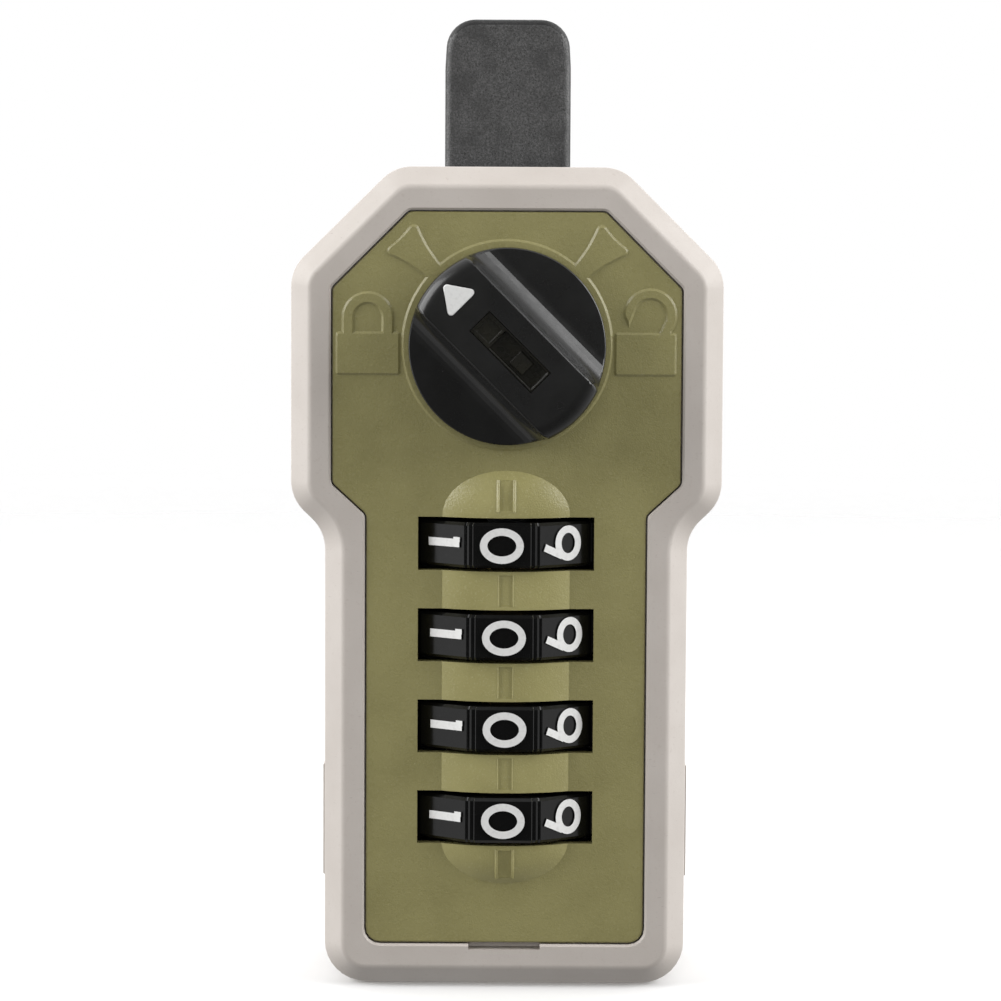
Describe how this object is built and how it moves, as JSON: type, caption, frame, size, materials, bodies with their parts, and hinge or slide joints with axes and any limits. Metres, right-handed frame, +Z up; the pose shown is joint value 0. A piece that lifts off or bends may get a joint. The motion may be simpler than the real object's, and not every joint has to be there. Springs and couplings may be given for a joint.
{
  "type": "combination cam lock",
  "caption": "Surface-mounted combination cam lock with number wheels in windows, a turn knob on the face and a tongue behind the door.",
  "frame": {"origin": "where the knob's axis meets the rear mounting face, at the centre of the hole in the door", "axes": "+Y into the door along the knob's axis, +Z up along the body towards the tongue's tip, +X right as seen from the front"},
  "size_m": [0.0594, 0.0647, 0.1351],
  "materials": {
    "frame_beige": "satin moulded beige",
    "plate_olive": "satin olive, fine grain",
    "knob_black": "polished black",
    "wheel_black": "polished black",
    "mark_white": "white fill",
    "rear_cast": "dark grey coated die-casting",
    "tongue_dark": "dark grey, sandy cast texture",
    "hardware_zinc": "zinc plated",
    "spring_steel": "bright spring steel",
    "brass": "turned brass"
  },
  "bodies": {
    "housing": {"front_frame": "frame_beige", "face_plate": "plate_olive", "rear_plate": "rear_cast", "threaded_collar": "hardware_zinc", "lock_washer": "hardware_zinc", "collar_nut": "hardware_zinc", "rear_screw_1": "hardware_zinc", "rear_screw_2": "hardware_zinc", "rear_screw_3": "hardware_zinc", "rear_screw_4": "hardware_zinc", "fixing_insert_1": "brass", "fixing_insert_2": "brass", "wheel_carrier": "rear_cast", "carrier_screw_1": "hardware_zinc", "carrier_screw_2": "hardware_zinc", "carrier_screw_3": "hardware_zinc", "carrier_screw_4": "hardware_zinc", "wheel_axle": "hardware_zinc", "axle_clip_upper": "spring_steel", "axle_clip_lower": "spring_steel", "thrust_washer": "spring_steel", "detent_spring": "spring_steel", "detent_screw_1": "hardware_zinc", "detent_screw_2": "hardware_zinc", "guide_rivet_1": "hardware_zinc", "guide_rivet_2": "hardware_zinc", "guide_rivet_3": "hardware_zinc", "return_spring": "spring_steel"},
    "knob_train": {"knob": "knob_black", "pointer_mark": "mark_white", "keyway_insert": "knob_black", "spindle": "hardware_zinc", "spindle_clip": "spring_steel", "drive_cam": "hardware_zinc", "tongue": "tongue_dark", "tongue_washer": "spring_steel", "tongue_screw": "hardware_zinc"},
    "wheel_1": {"number_wheel_1": "wheel_black", "code_ring_1": "brass"},
    "wheel_2": {"number_wheel_2": "wheel_black", "code_ring_2": "brass"},
    "wheel_3": {"number_wheel_3": "wheel_black", "code_ring_3": "brass"},
    "wheel_4": {"number_wheel_4": "wheel_black", "code_ring_4": "brass"},
    "locking_bar": {"locking_bar": "hardware_zinc", "follower_pin": "spring_steel"}
  },
  "joints": [
    {"name": "knob_turn", "type": "hinge", "parent": "housing", "child": "knob_train", "pos_m": [0, 0, 0], "axis": [0, 1, 0], "range_deg": [0, 90]},
    {"name": "wheel_1_turn", "type": "hinge", "parent": "housing", "child": "wheel_1", "pos_m": [0, -0.019, -0.02725], "axis": [0, 0, 1], "continuous": true},
    {"name": "wheel_2_turn", "type": "hinge", "parent": "housing", "child": "wheel_2", "pos_m": [0, -0.019, -0.0399], "axis": [0, 0, 1], "continuous": true},
    {"name": "wheel_3_turn", "type": "hinge", "parent": "housing", "child": "wheel_3", "pos_m": [0, -0.019, -0.05255], "axis": [0, 0, 1], "continuous": true},
    {"name": "wheel_4_turn", "type": "hinge", "parent": "housing", "child": "wheel_4", "pos_m": [0, -0.019, -0.0652], "axis": [0, 0, 1], "continuous": true},
    {"name": "bar_slide", "type": "slide", "parent": "housing", "child": "locking_bar", "axis": [0, 0, -1], "range_m": [0, 0.0042], "deforming": ["return_spring"]}
  ],
  "couplings": [
    {"joint": "bar_slide", "follows": "knob_turn", "m_per_rad": 0.0026738}
  ]
}
